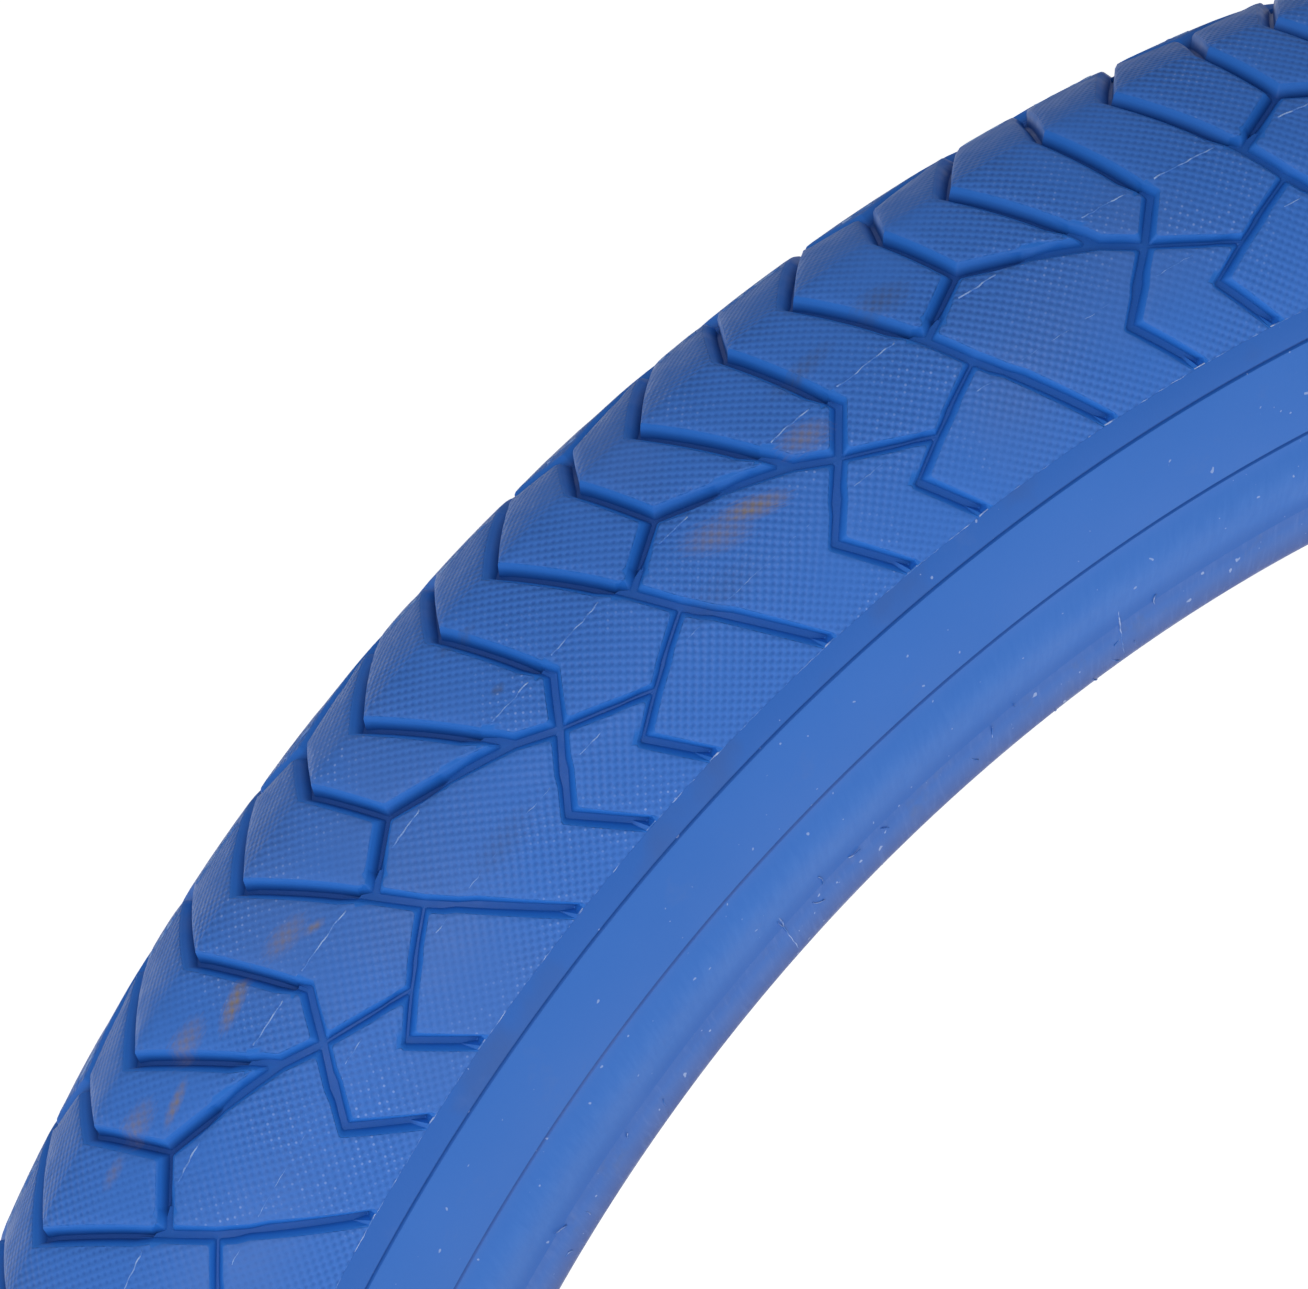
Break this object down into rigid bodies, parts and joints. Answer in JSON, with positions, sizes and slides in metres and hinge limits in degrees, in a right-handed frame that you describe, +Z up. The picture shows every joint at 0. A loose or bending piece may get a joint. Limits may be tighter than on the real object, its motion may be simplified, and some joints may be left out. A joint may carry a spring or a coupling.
{
  "type": "bicycle tire",
  "caption": "Blue wired-on bicycle tire off its rim: chevron block tread, smooth sidewalls, cord casing and round wired beads.",
  "frame": {"origin": "the wheel's centre, on the wheel's axis and in the tire's centre plane", "axes": "+Y along the wheel's axis, +Z up with the tire upright, +X forward"},
  "size_m": [0.532, 0.0584, 0.532],
  "materials": {
    "tread_rubber": "matte, finely knurled",
    "sidewall_rubber": "satin",
    "chafer_rubber": "satin",
    "filler_rubber": "matte",
    "cord_ply": "rubbered cord cloth",
    "puncture_strip": "woven strip",
    "bead_cloth": "woven tape",
    "bead_steel": "drawn wire"
  },
  "bodies": {
    "root": {"tread": "tread_rubber", "breaker_strip": "puncture_strip", "outer_ply": "cord_ply", "inner_ply": "cord_ply", "left_sidewall": "sidewall_rubber", "right_sidewall": "sidewall_rubber", "left_bead_wires": "bead_steel", "right_bead_wires": "bead_steel", "left_bead_wrap": "bead_cloth", "right_bead_wrap": "bead_cloth", "left_bead_filler": "filler_rubber", "right_bead_filler": "filler_rubber", "left_chafer": "chafer_rubber", "right_chafer": "chafer_rubber"}
  },
  "joints": []
}
